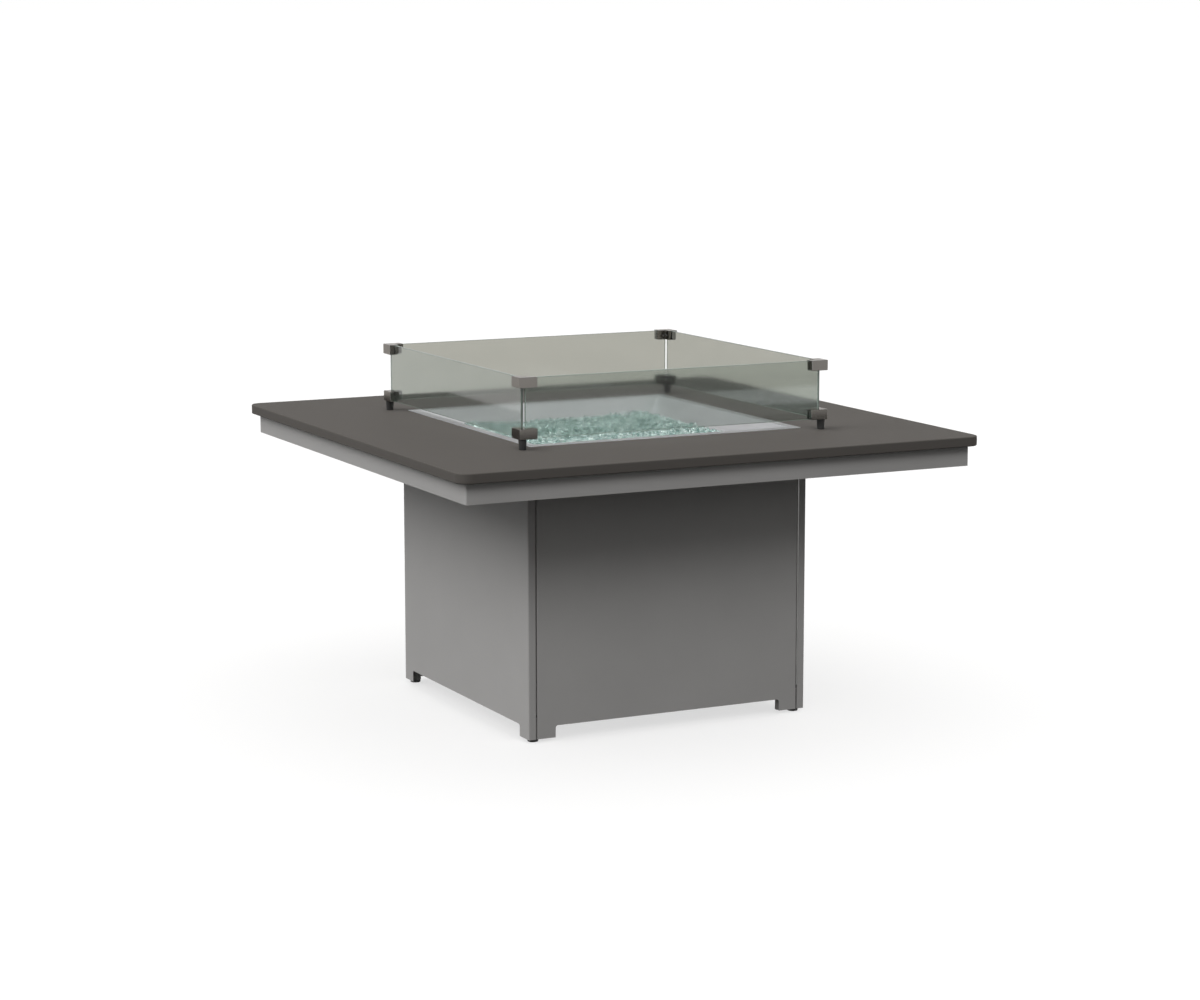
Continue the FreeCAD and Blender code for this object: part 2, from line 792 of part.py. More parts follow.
def make_gas_tube():
    """Rigid tube from the valve outlet to the mixer."""
    outlet_y = valve_back + outlet_length
    inlet_x = -mixer_radius - mixer_port_length
    route = [V(knob_x, outlet_y, knob_z), V(knob_x, 0, knob_z), V(inlet_x, 0, knob_z)]
    return tube_along(route, gas_tube_radius, gas_tube_bend)


def make_fire_glass():
    """Bed of crushed glass, flat at the sides and slightly crowned."""
    level = table_height - fill_drop
    level_half = pan_top_half - pan_slope * fill_drop
    crown_half = level_half - fill_crown_run
    bed = square_frustum(pan_floor_half, level_half, pan_floor, level)
    bed = bed.fuse(square_frustum(level_half, crown_half, level, level + fill_crown))
    bed = bed.cut(burner_bars(burner_radius + burner_gap))
    bed = bed.cut(rod(hub_radius + burner_gap, V(0, 0, pan_floor), Z_AXIS, hub_height + burner_gap))
    keep_out = hood_radius + hood_flange + hood_clearance
    return bed.cut(rod(keep_out, V(pilot_offset_x, pilot_y, pan_floor), Z_AXIS, pan_depth))


def make_pilot():
    """Spark electrode under a perforated hood beside the burner."""
    base = V(pilot_offset_x, pilot_y, pan_floor)
    hood_inner = hood_radius - hood_sheet
    hood = rod(hood_radius, base, Z_AXIS, hood_height)
    hood = round_ring(hood, hood_round, lambda c: c.z > base.z + hood_height - near)
    hood = hood.cut(rod(hood_inner, base, Z_AXIS, hood_height - hood_sheet))
    flange = rod(hood_radius + hood_flange, base, Z_AXIS, hood_sheet)
    hood = hood.fuse(flange.cut(rod(hood_inner, base, Z_AXIS, hood_sheet)))
    hole = rod(hood_hole_radius, base - X_AXIS * 2 * hood_radius, X_AXIS, 4 * hood_radius)
    for level in hood_hole_levels:
        for k in range(4):
            row = hole.copy()
            row.rotate(base, Z_AXIS, 45 * (k + 0.5))
            row.translate(Z_AXIS * level)
            hood = hood.cut(row)
    insulator = electrode_below + pan_sheet + electrode_above
    ceramic = rod(electrode_radius, base - Z_AXIS * (pan_sheet + electrode_below), Z_AXIS, insulator)
    tip = rod(electrode_tip_radius, base + Z_AXIS * electrode_above, Z_AXIS, electrode_tip)
    return {"pilot_hood": hood, "igniter_electrode": ceramic.fuse(tip)}


def make_igniter_lead():
    """Insulated lead from the igniter to the electrode."""
    start_y = control_y + panel_sheet + housing_length
    end_z = pan_under - electrode_below
    route = [
        V(button_x, start_y, button_z),
        V(button_x, pilot_y, button_z),
        V(pilot_offset_x, pilot_y, button_z),
        V(pilot_offset_x, pilot_y, end_z),
    ]
    bend = min(lead_bend, (end_z - button_z) * lead_bend_share)
    return tube_along(route, lead_radius, bend)


# --------------------------------------------------------------- control panel
def make_control_panel():
    """Plate that hangs from the rail, with holes for the spindle and the igniter."""
    right = control_x + control_width
    back = control_y + panel_sheet
    middle = (control_x + right) / 2

    def lower_corner(edge, centre):
        return centre.z < control_low + tiny and abs(centre.x - middle) > control_width / 2 - tiny

    plate = block(control_x, right, control_y, back, control_low, rail_bottom)
    plate = fillet_where(plate, control_corner, lower_corner)
    front = control_y - control_flange
    flange = block(control_x, right, front, control_y, rail_bottom - panel_sheet, rail_bottom)
    reach = panel_sheet + 2 * beyond
    before = control_y - beyond
    spindle_hole = rod(spindle_hole_radius, V(knob_x, before, knob_z), Y_AXIS, reach)
    igniter_hole = rod(housing_radius, V(button_x, before, button_z), Y_AXIS, reach)
    return plate.fuse(flange).cut([spindle_hole, igniter_hole])


def make_gas_valve():
    front = control_y + panel_sheet
    half = valve_width / 2
    low = knob_z - valve_height / 2
    body = block(knob_x - half, knob_x + half, front, valve_back, low, low + valve_height)
    body = round_upright(body, valve_round)
    outlet = rod(outlet_radius, V(knob_x, valve_back, knob_z), Y_AXIS, outlet_length)
    start = V(knob_x, front + valve_passage_start, knob_z)
    passage = rod(valve_passage_radius, start, Y_AXIS, valve_depth)
    depth = spindle_seat + seat_end_gap
    seat = rod(spindle_radius + spindle_clearance, V(knob_x, front, knob_z), Y_AXIS, depth)
    return body.fuse(outlet).cut([passage, seat])


def make_gas_inlet():
    """Male flare fitting under the valve, for the supply hose."""
    middle_y = control_y + panel_sheet + valve_depth / 2
    hex_base = V(knob_x, middle_y, knob_z - valve_height / 2 - inlet_hex_height)
    tip = hex_base - Z_AXIS * inlet_length
    hexed = hexagon(inlet_hex, hex_base, inlet_hex_height)
    flare = rod(inlet_radius, tip, Z_AXIS, inlet_length)
    return hexed.fuse(flare).cut(rod(inlet_bore_radius, tip, Z_AXIS, inlet_bore_depth))


def make_knob():
    """Fluted grip on a wider skirt."""
    face = control_y - knob_gap
    base = V(knob_x, face, knob_z)
    grip_radius = knob_radius - knob_step
    tip_radius = grip_radius - knob_taper
    skirt = rod(knob_radius, base, -Y_AXIS, knob_skirt)
    grip = Part.makeCone(grip_radius, tip_radius, knob_depth, base, -Y_AXIS)
    knob = skirt.fuse(grip)
    knob = round_ring(knob, knob_round, lambda c: c.y < face - knob_depth + tiny)
    for k in range(flute_count):
        turn = 2 * math.pi * k / flute_count
        out = V(math.cos(turn), 0, math.sin(turn)) * (knob_radius - flute_inset)
        knob = knob.cut(rod(flute_radius, base + out - Y_AXIS * knob_skirt, -Y_AXIS, knob_depth))
    return knob.cut(rod(spindle_radius, base, -Y_AXIS, spindle_reach))


def make_spindle():
    start = control_y + panel_sheet + spindle_seat
    end = control_y - knob_gap - spindle_reach
    return rod(spindle_radius, V(knob_x, start, knob_z), -Y_AXIS, start - end)


def make_igniter_housing():
    at_face = V(button_x, control_y, button_z)
    front = at_face - Y_AXIS * bezel_depth
    bezel = rod(bezel_radius, at_face, -Y_AXIS, bezel_depth)
    bezel = round_ring(bezel, bezel_round, lambda c: c.y < control_y - near)
    body = rod(housing_radius, at_face, Y_AXIS, panel_sheet + housing_length)
    bore = rod(button_radius + button_clearance, front, Y_AXIS, button_length + bezel_depth)
    return bezel.fuse(body).cut(bore)


def make_igniter_button():
    front = control_y - bezel_depth - button_proud
    button = rod(button_radius, V(button_x, front, button_z), Y_AXIS, button_length)
    return round_ring(button, button_round, lambda c: c.y < front + near)


# ------------------------------------------------------------------- wind guard
def make_glass_panels():
    panel = block(-glass_end, glass_end, -glass_outer, -glass_inner, glass_low, glass_top)
    panel = panel.makeFillet(glass_edge_radius, panel.Edges)
    names = ("glass_front", "glass_right", "glass_back", "glass_left")
    return {name: turned(panel, 90 * k) for k, name in enumerate(names)}


def corner_clip(low, high, slot_low, slot_high):
    """L-shaped clip round the front right corner, slotted for two panels."""
    leg_end = clip_outer - clip_leg
    clip = block(leg_end, clip_outer, -clip_outer, -clip_inner, low, high)
    clip = clip.fuse(block(clip_inner, clip_outer, -clip_outer, -leg_end, low, high)).removeSplitter()
    clip = round_upright(clip, clip_radius, lambda c: min(c.x, -c.y) > clip_outer - near)
    flat = [e for e in clip.Edges if min(abs(e.BoundBox.Center.z - z) for z in (low, high)) < tiny]
    clip = clip.makeChamfer(clip_chamfer, flat)
    near_face, far_face = glass_inner - clip_slot_clearance, glass_outer + clip_slot_clearance
    start, end = leg_end - beyond, glass_end + clip_slot_clearance * 2
    slot = block(start, end, -far_face, -near_face, slot_low, slot_high)
    clip = clip.cut([slot, block(near_face, far_face, -end, -start, slot_low, slot_high)])
    for at, axis in grub_places((low + high) / 2):
        clip = clip.cut(rod(grub_radius, at, axis, clip_wall_inner))
    return clip


def grub_places(z):
    """Grub screw positions on the inner faces of the front right clip."""
    along = clip_outer - grub_from_corner
    return [(V(along, -clip_inner, z), -Y_AXIS), (V(clip_inner, -along, z), X_AXIS)]


def grub_screw(at, axis):
    """Hex-socket grub screw, its tip on the glass and its end just inside the clip."""
    length = clip_wall_inner - grub_sunk
    screw = rod(grub_radius, at + axis * grub_sunk, axis, length)
    return screw.cut(rod(grub_hex, at, axis, grub_sunk + grub_socket))


def make_guard_fittings():
    """Lower and upper clips with their grub screws, and the rubber feet."""
    low_end = clip_low + clip_height
    high_start = clip_high_top - clip_height
    lower = corner_clip(clip_low, low_end, clip_low - beyond, low_end + beyond)
    upper = corner_clip(high_start, clip_high_top, high_start - beyond, glass_top + clip_cap_gap)
    middles = ((clip_low + low_end) / 2, (high_start + clip_high_top) / 2)
    screws = [grub_screw(at, axis) for z in middles for at, axis in grub_places(z)]
    foot_base = V(guard_foot_at, -guard_foot_at, table_height)
    foot = Part.makeCone(guard_foot_base_radius, guard_foot_top_radius, guard_foot_height, foot_base)
    foot = round_ring(foot, guard_foot_round, lambda c: True)
    return {
        "guard_clips_lower": four_corners(lower),
        "guard_clips_upper": four_corners(upper),
        "guard_grub_screws": Part.makeCompound([four_corners(s) for s in screws]),
        "guard_feet": four_corners(foot),
    }


# ------------------------------------------------------------------------ build
def build():
    side_right = make_side_panel_right()
    nodes = {
        "table_top": make_table_top(),
        "top_bolts": make_top_bolts(),
        "side_panel_right": side_right,
        "side_panel_left": mirror_x(side_right),
        "back_panel": make_back_panel(),
        "back_panel_screws": make_back_screws(),
        "header_panel": folded_panel(door_top + groove, panel_top, False),
        "front_door": folded_panel(leg_bottom, door_top, True),
        "door_stile_left": make_stile(-1),
        "door_stile_right": make_stile(1),
        "foot_brackets": make_foot_brackets(),
        "foot_inserts": make_foot_inserts(),
        "levelling_foot_front_left": make_levelling_foot(-1, -1),
        "levelling_foot_front_right": make_levelling_foot(1, -1),
        "levelling_foot_back_left": make_levelling_foot(-1, 1),
        "levelling_foot_back_right": make_levelling_foot(1, 1),
        "tank_shelf": make_tank_shelf(),
        "tank_collar": make_tank_collar(),
        "burner_pan": make_burner_pan(),
        "burner_ring": make_burner(),
        "burner_stem": make_burner_stem(),
        "stem_locknut": make_stem_locknut(),
        "heat_shield": make_heat_shield(),
        "shield_standoffs": make_shield_standoffs(),
        "air_mixer": make_air_mixer(),
        "gas_tube": make_gas_tube(),
        "fire_glass": make_fire_glass(),
        "igniter_lead": make_igniter_lead(),
        "control_panel": make_control_panel(),
        "gas_valve": make_gas_valve(),
        "gas_inlet": make_gas_inlet(),
        "control_knob": make_knob(),
        "valve_spindle": make_spindle(),
        "igniter_housing": make_igniter_housing(),
        "igniter_button": make_igniter_button(),
    }
    for group in (make_aprons, make_rails, make_hinge, make_door_catch, make_pilot,
                  make_glass_panels, make_guard_fittings):
        nodes.update(group())
    return nodes


os.makedirs("parts", exist_ok=True)
for node_name, node_shape in build().items():
    node_shape.exportStep("parts/" + node_name + ".step")
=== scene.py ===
import json
import math

import bmesh
import bpy
import numpy as np
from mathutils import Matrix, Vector


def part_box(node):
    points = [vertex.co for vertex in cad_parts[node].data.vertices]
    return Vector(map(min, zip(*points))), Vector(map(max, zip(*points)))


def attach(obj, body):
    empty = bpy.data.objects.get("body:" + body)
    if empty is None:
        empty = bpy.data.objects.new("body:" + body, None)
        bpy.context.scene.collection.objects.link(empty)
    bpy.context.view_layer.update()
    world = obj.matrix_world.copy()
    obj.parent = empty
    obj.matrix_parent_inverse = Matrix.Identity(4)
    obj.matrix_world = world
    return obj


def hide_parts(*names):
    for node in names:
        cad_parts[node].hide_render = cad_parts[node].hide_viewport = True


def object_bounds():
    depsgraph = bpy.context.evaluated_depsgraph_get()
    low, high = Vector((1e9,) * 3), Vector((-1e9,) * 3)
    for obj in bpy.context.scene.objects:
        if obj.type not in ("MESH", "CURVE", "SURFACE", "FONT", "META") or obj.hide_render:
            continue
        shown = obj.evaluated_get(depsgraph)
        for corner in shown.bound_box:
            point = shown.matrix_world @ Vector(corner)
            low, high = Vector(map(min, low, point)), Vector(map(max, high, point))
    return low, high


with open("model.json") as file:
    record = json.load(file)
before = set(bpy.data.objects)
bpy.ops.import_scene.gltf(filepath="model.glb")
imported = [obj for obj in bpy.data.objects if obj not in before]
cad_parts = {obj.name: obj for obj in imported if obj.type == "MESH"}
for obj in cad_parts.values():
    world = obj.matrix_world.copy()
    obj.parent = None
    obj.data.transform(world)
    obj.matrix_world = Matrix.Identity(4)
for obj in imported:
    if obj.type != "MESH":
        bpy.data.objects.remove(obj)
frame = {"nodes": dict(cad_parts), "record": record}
cad_low, cad_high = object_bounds()
nodes = frame["nodes"]

# Square gas fire table: light grey powder-coated pedestal and apron, dark top,
# stainless burner pan with crushed aqua glass, and a tinted glass wind guard.
# Metres, +Z up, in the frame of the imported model.

MILLIMETRE = 0.001
MIX_A, MIX_B, MIX_RESULT = 6, 7, 2     # colour sockets of a Mix node, by place

# ---------------------------------------------------------------- camera and light
camera_azimuth = -26.54      # degrees, 0 looks along +Y
camera_elevation = 9.23
camera_distance = 7.328
camera_aim = 0.573           # height aimed at, as a share of the whole height
camera_lens = 87.15          # millimetres
camera_sensor = 36.0         # millimetres

sky_ground = 0.03            # radiance of the dome below and above the horizon
sky_above = 0.46
sky_blend = 0.05             # half the band where one turns into the other
sky_tint = (1.0, 0.995, 0.985, 1.0)
suns = {                     # azimuth, elevation, irradiance, width in degrees
    "key_light": (-96.0, 39.0, 2.05, 42.0),
    "fill_light": (-6.0, 45.0, 1.00, 28.0),
    "top_light": (-152.6, 71.0, 0.50, 7.0),
    "back_light": (85.0, 50.0, 0.08, 40.0),
}
floor_wash = 2.18            # irradiance of the shadowless light on the floor
floor_wash_width = 10.0

floor_flat = 9.0             # radius of the flat floor, before it curves up
floor_sweep = 25.0           # radius of that curve
floor_sweep_angle = 70.0
floor_rings = 24
floor_segments = 96
floor_white = 0.93           # reflectance of the white floor
floor_behind_glass = 0.51    # and of the grey one that shows only through the panes
floor_behind_warmth = 0.075
paper_shade = 0.99           # darkest fibres, as a share of the reflectance

# ------------------------------------------------------------------- crushed glass
shard_seed = 11
shard_kinds = 28             # different shapes
shard_points = 11            # points that a shape's hull is wrapped round
shard_reach = (0.80, 1.0)    # how far out those points lie
shard_narrow = (0.85, 0.62, 0.45)      # least and most share of the size on each axis
shard_wide = (1.0, 0.90, 0.75)
shard_half = (4.6 * MILLIMETRE, 8.2 * MILLIMETRE)      # least and most half-size
shard_pitch = 9.6 * MILLIMETRE         # from shard to shard in a layer
shard_jitter = 0.6           # of the pitch, to either side
shard_layer = 6.5 * MILLIMETRE         # from layer to layer
shard_layers = 4
shard_scatter = 0.3          # of the layer's height
shard_mound = 7.0 * MILLIMETRE         # from the lowest to the highest of a wide heap
wide_heaps = (13.0, 11.0)    # radians per metre along X and Y
wide_phase = (1.7, -0.6)
small_heaps = (29.0, -17.0)
small_heap_share = 0.6
shard_crown_run = 0.060
shard_crown = 8.0 * MILLIMETRE
hood_clearance = 4.0 * MILLIMETRE
pan_slope = 1.257            # run per unit of fall of the pan's walls

# ------------------------------------------------------------------ finish values
bevel_samples = 4
edge_mask_full = 0.80             # cosine between flat and rounded normal where the edge mask is full: worn paint, and the painted highlight on metal folds and where the edge mask is empty, on a flat face
edge_mask_none = 0.99             # and on a face without wear
small_edge = 0.4 * MILLIMETRE          # rounding of cast and moulded edges
paint_clouds = (0.965, 1.035)          # darkest and lightest, as shares of the value
paint_wear_radius = 0.9 * MILLIMETRE
paint_wear = 0.35            # share of bare metal on a worn edge
paint_peel = 0.12 * MILLIMETRE         # depth of the orange peel
fleck_scale = 2.2            # scale of the flecks, times the peel's
fleck_share = 0.10
fleck_value = 0.6
brush_shades = (0.86, 1.08)            # darkest and lightest brush line
brush_depth = 0.03 * MILLIMETRE
fold_highlight_colour = (0.90, 0.92, 0.95, 1.0)  # painted highlight: pale colour that folds and creases turn to, standing in for light caught along them
fold_share = 0.7
fold_smoothing = -0.35       # change of roughness on a fold, as a share of it
cast_shades = (0.8, 1.1)
cast_depth = 0.04 * MILLIMETRE
mould_depth = 0.08 * MILLIMETRE
dust_warmth = 0.05
glaze_depth = 0.05 * MILLIMETRE
glaze_tints = ((0.80, 0.78, 0.72, 1), (0.90, 0.89, 0.86, 1))
pane_tints = ((0.650, 0.700, 0.675, 1), (0.680, 0.725, 0.700, 1))
pane_gleam = 0.3             # tint of the panes' mirror reflection
pane_haze = (0.055, 0.075)   # least and most roughness
edge_tints = ((0.20, 0.26, 0.22, 1), (0.34, 0.42, 0.37, 1))
edge_grind = (0.12, 0.26)    # least and most roughness
aqua_tints = ((0.24, 0.37, 0.34, 1), (0.86, 0.94, 0.92, 1))
aqua_polish = (0.02, 0.10)   # least and most roughness
shard_ripple = 0.3 * MILLIMETRE
pane_face = 0.99             # a face turned from the pane's axis by more than this cosine is an edge


# ----------------------------------------------------------------------- shader kit
class Finish:
    """One procedural material: a Principled shader and short calls that feed it."""

    def __init__(self, name, **plain):
        self.material = bpy.data.materials.new(name)
        self.material.use_nodes = True
        self.tree = self.material.node_tree
        self.shader = self.tree.nodes["Principled BSDF"]
        self.place = self.node("TexCoord").outputs["Object"]
        for socket, value in plain.items():
            self.shader.inputs[socket.replace("_", " ")].default_value = value

    def node(self, kind, inputs=None, **settings):
        made = self.tree.nodes.new("ShaderNode" + kind)
        for key, value in settings.items():
            setattr(made, key, value)
        for socket, value in (inputs or {}).items():
            self.put(value, made.inputs[socket])
        return made

    def put(self, value, socket):
        """Link or set one input."""
        if isinstance(value, bpy.types.NodeSocket):
            self.tree.links.new(value, socket)
        else:
            socket.default_value = value

    def feed(self, socket, value):
        self.put(value, self.shader.inputs[socket])

    def noise(self, scale, detail=2.0, stretch=(1, 1, 1), place=None):
        """Noise from 0 to 1, with stretch multiplying its scale along each axis."""
        spread = self.node("Mapping", {"Vector": place or self.place, "Scale": stretch})
        settings = {"Vector": spread.outputs["Vector"], "Scale": scale, "Detail": detail}
        return self.node("TexNoise", settings).outputs["Fac"]

    def cells(self, scale):
        settings = {"Vector": self.place, "Scale": scale}
        return self.node("TexVoronoi", settings).outputs["Distance"]

    def between(self, factor, low, high, start=0.25, end=0.75):
        """The factor's span from start to end, turned into low to high."""
        settings = {"Value": factor, "From Min": start, "From Max": end, "To Min": low, "To Max": high}
        return self.node("MapRange", settings).outputs["Result"]

    def tint(self, factor, dark, light):
        """A colour from dark to light as the factor goes from 0 to 1."""
        mix = self.node("Mix", data_type="RGBA")
        self.put(factor, mix.inputs["Factor"])
        self.put(dark, mix.inputs[MIX_A])
        self.put(light, mix.inputs[MIX_B])
        return mix.outputs[MIX_RESULT]

    def sum(self, a, b, share=1.0):
        """a plus share times b."""
        made = self.node("Math", operation="MULTIPLY_ADD")
        self.put(b, made.inputs[0])
        self.put(share, made.inputs[1])
        self.put(a, made.inputs[2])
        return made.outputs[0]

    def relief(self, height, depth, strength=1.0, soft_edge=0.0):
        """Bump of that depth in metres, over edges rounded by soft_edge."""
        settings = {"Height": height, "Distance": depth, "Strength": strength}
        bump = self.node("Bump", settings)
        if soft_edge:
            rounded = self.node("Bevel", {"Radius": soft_edge}, samples=bevel_samples)
            self.put(rounded.outputs["Normal"], bump.inputs["Normal"])
        self.feed("Normal", bump.outputs["Normal"])

    def edge_wear_and_highlight(self, radius):
        """About 1 on sharp edges and 0 on flat faces, from a rounded normal."""
        rounded = self.node("Bevel", {"Radius": radius}, samples=bevel_samples)
        flat = self.node("NewGeometry")
        turn = self.node("VectorMath", operation="DOT_PRODUCT")
        self.put(rounded.outputs["Normal"], turn.inputs[0])
        self.put(flat.outputs["Normal"], turn.inputs[1])
        return self.between(turn.outputs["Value"], 1.0, 0.0, edge_mask_full, edge_mask_none)

    def square_radius(self):
        """Distance from the upright axis to the square ring a point is on."""
        parts = self.node("SeparateXYZ", {"Vector": self.place})
        sides = []
        for axis in ("X", "Y"):
            side = self.node("Math", operation="ABSOLUTE")
            self.put(parts.outputs[axis], side.inputs[0])
            sides.append(side.outputs[0])
        larger = self.node("Math", operation="MAXIMUM")
        self.put(sides[0], larger.inputs[0])
        self.put(sides[1], larger.inputs[1])
        return larger.outputs[0]


def grey(value, warmth=0.0):
    """A grey of that reflectance, with more red and less blue for warmth."""
    return (value * (1 + warmth), value, value * (1 - warmth), 1.0)


def shades(colour, factors):
    """The colour times each factor, no brighter than white."""
    return [tuple(min(1.0, factor * c) for c in colour) + (1.0,) for factor in factors]


# ------------------------------------------------------------------------ materials
def powder_coat(name, value, warmth, roughness, sheen, grain, bare):
    """Baked powder paint: fine orange peel, faint clouding and rubbed edges."""
    paint = Finish(name, IOR=1.5, Specular_IOR_Level=sheen)
    cloud = paint.noise(5.0, 4.0)
    peel = paint.noise(grain, 3.0)
    fleck = paint.cells(grain * fleck_scale)
    dark, light = (grey(value * share, warmth) for share in paint_clouds)
    colour = paint.tint(paint.between(cloud, 0.0, 1.0), dark, light)
    flecks = paint.between(fleck, fleck_share, 0.0, 0.1, 0.5)
    speckled = paint.tint(flecks, colour, grey(value * fleck_value, warmth))
    worn = paint.edge_wear_and_highlight(paint_wear_radius)
    rubbed = paint.sum(0.0, worn, paint_wear)
    paint.feed("Base Color", paint.tint(rubbed, speckled, grey(bare, warmth)))
    uneven = paint.sum(paint.between(cloud, roughness - 0.03, roughness + 0.03), peel, 0.06)
    paint.feed("Roughness", uneven)
    paint.relief(peel, paint_peel, 0.55)
    return paint.material


def brushed_metal(name, colour, edge_tint, roughness, scale, stretch, rings, soft_edge):
    """Sheet metal with brush lines and a painted highlight along its folds; rings runs the brush lines
    round the upright axis.
    """
    metal = Finish(name, Metallic=1.0, Specular_Tint=grey(edge_tint, 0.03))
    place = metal.place
    if rings:
        parts = metal.node("SeparateXYZ", {"Vector": metal.place})
        along = metal.node("CombineXYZ", {"X": metal.square_radius(), "Z": parts.outputs["Z"]})
        place = along.outputs["Vector"]
    lines = metal.noise(scale, 3.0, stretch, place)
    blotch = metal.noise(9.0, 3.0)
    dark, light = shades(colour, brush_shades)
    grain = metal.sum(metal.between(lines, 0.2, 0.8), metal.between(blotch, -0.2, 0.2))
    fold = metal.edge_wear_and_highlight(soft_edge)
    brushed = metal.tint(grain, dark, light)
    # Painted highlight: folds and creases turn pale and bluish, a bright line of light drawn into the
    # colour.
    metal.feed("Base Color", metal.tint(metal.sum(0.0, fold, fold_share), brushed, fold_highlight_colour))
    uneven = metal.sum(metal.between(lines, roughness - 0.05, roughness + 0.06), blotch, 0.05)
    metal.feed("Roughness", metal.sum(uneven, fold, fold_smoothing * roughness))
    metal.relief(lines, brush_depth, 0.6, soft_edge)
    return metal.material


def cast_metal(name, colour, roughness):
    """Plain machined or plated metal with faint mottling and handling marks."""
    metal = Finish(name, Metallic=1.0)
    mottle = metal.noise(240.0, 4.0)
    marks = metal.noise(35.0, 3.0)
    dark, light = shades(colour, cast_shades)
    metal.feed("Base Color", metal.tint(metal.between(marks, 0.0, 1.0), dark, light))
    uneven = metal.between(mottle, roughness - 0.06, roughness + 0.06)
    metal.feed("Roughness", metal.sum(uneven, marks, 0.08))
    metal.relief(mottle, cast_depth, 0.5, small_edge)
    return metal.material


def moulded(name, value, roughness, grain):
    """Rubber or plastic from a mould: fine grain, dust in the low spots."""
    stuff = Finish(name, IOR=1.47)
    texture = stuff.noise(grain, 4.0)
    dust = stuff.noise(60.0, 5.0)
    dusty = grey(value * 3 + 0.02, dust_warmth)
    settled = stuff.between(dust, 0.0, 0.35, 0.45, 0.8)
    stuff.feed("Base Color", stuff.tint(settled, grey(value), dusty))
    uneven = stuff.between(texture, roughness - 0.06, roughness + 0.06)
    stuff.feed("Roughness", stuff.sum(uneven, dust, 0.05))
    stuff.relief(texture, mould_depth, 0.6, small_edge)
    return stuff.material


def ceramic(name):
    """White glazed insulator with a faint crackle."""
    glaze = Finish(name, IOR=1.5, Coat_Weight=0.6)
    crackle = glaze.noise(300.0, 3.0)
    glaze.feed("Base Color", glaze.tint(crackle, *glaze_tints))
    glaze.feed("Roughness", glaze.between(crackle, 0.22, 0.34))
    glaze.relief(crackle, glaze_depth, 0.4)
    return glaze.material


def pane_glass(name):
    """Tinted tempered glass with a little wipe haze in its polish."""
    pane = Finish(name, Transmission_Weight=1.0, IOR=1.48, Specular_Tint=grey(pane_gleam))
    wipe = pane.noise(7.0, 4.0, (1.0, 1.0, 2.5))
    pane.feed("Base Color", pane.tint(pane.between(wipe, 0.0, 1.0), *pane_tints))
    pane.feed("Roughness", pane.between(wipe, *pane_haze, 0.4, 0.8))
    return pane.material


def pane_edge(name):
    """Polished glass edge, greener because light runs along the pane in it."""
    edge = Finish(name, Transmission_Weight=0.55, IOR=1.48)
    grind = edge.noise(500.0, 2.0)
    edge.feed("Base Color", edge.tint(grind, *edge_tints))
    edge.feed("Roughness", edge.between(grind, *edge_grind))
    return edge.material


def aqua_glass(name):
    """Crushed glass: each shard has its own depth of aqua and its own polish."""
    glass = Finish(name, Transmission_Weight=0.82, IOR=1.5)
    each = glass.node("NewGeometry").outputs["Random Per Island"]
    ripple = glass.noise(260.0, 2.0)
    depth = glass.between(each, 0.0, 1.0, 0.0, 1.0)
    glass.feed("Base Color", glass.tint(depth, *aqua_tints))
    glass.feed("Roughness", glass.between(each, *aqua_polish, 0.0, 1.0))
    glass.relief(ripple, shard_ripple, 0.5)
    return glass.material


frame_paint = powder_coat("frame_coat", 0.36, 0.016, 0.46, 0.1, 620.0, 0.5)
rail_paint = powder_coat("rail_coat", 0.31, 0.012, 0.55, 0.2, 520.0, 0.42)
top_paint = powder_coat("top_coat", 0.082, 0.08, 0.70, 0.1, 900.0, 0.15)
stainless = brushed_metal(
    "stainless", (0.76, 0.765, 0.785), 0.30, 0.40, 22.0, (40, 1, 40), True, 4.0 * MILLIMETRE
)
clip_metal = brushed_metal(
    "clip_metal", (0.175, 0.165, 0.152), 0.8, 0.17, 30.0, (1, 1, 60), False, 0.8 * MILLIMETRE
)
zinc = cast_metal("zinc_steel", (0.56, 0.56, 0.57), 0.36)
hinge_metal = cast_metal("dark_hinge", (0.20, 0.20, 0.195), 0.42)
brass = cast_metal("brass", (0.72, 0.52, 0.24), 0.30)
aluminium = cast_metal("tube_aluminium", (0.70, 0.70, 0.71), 0.32)
rubber = moulded("black_rubber", 0.016, 0.62, 700.0)
plastic = moulded("black_plastic", 0.024, 0.48, 900.0)
magnet = moulded("magnet_housing", 0.10, 0.50, 900.0)
white_ceramic = ceramic("white_ceramic")
guard_pane = pane_glass("guard_glass")
guard_edge = pane_edge("guard_glass_edge")

by_slot = {
    "top_coat": top_paint,
    "frame_coat": frame_paint,
    "rail_coat": rail_paint,
    "stainless": stainless,
    "clip_metal": clip_metal,
    "zinc_steel": zinc,
    "dark_hinge": hinge_metal,
    "guard_glass": guard_pane,
    "black_rubber": rubber,
    "brass": brass,
    "black_plastic": plastic,
    "white_ceramic": white_ceramic,
    "tube_aluminium": aluminium,
    "magnet_housing": magnet,
}


def dress_cad_nodes():
    """Give every CAD node the finish of its material slot."""
    for part in frame["record"]["subparts"]:
        if part["material_slot"] in by_slot:
            data = nodes[part["node"]].data
            data.materials.clear()
            data.materials.append(by_slot[part["material_slot"]])


def paint_faces(name, material, test):
    """Give the faces of a CAD node that pass the test a second material."""
    data = nodes[name].data
    data.materials.append(material)
    for face in data.polygons:
        if test(face):
            face.material_index = 1


def dress_glass():
    """Greener edges on the four panes, which cast no shadow."""
    for side, axis in (("front", 1), ("back", 1), ("left", 0), ("right", 0)):
        name = "glass_" + side
        paint_faces(name, guard_edge, lambda face: abs(face.normal[axis]) < pane_face)
        nodes[name].visible_shadow = False
        nodes[name].visible_diffuse = False


def dress_feet():
    """The levelling feet are rubber pads on plated studs."""
    pad_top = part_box("foot_inserts")[0].z
    for corner in ("front_left", "front_right", "back_left", "back_right"):
        name = "levelling_foot_" + corner
        paint_faces(name, zinc, lambda face: face.center.z > pad_top)


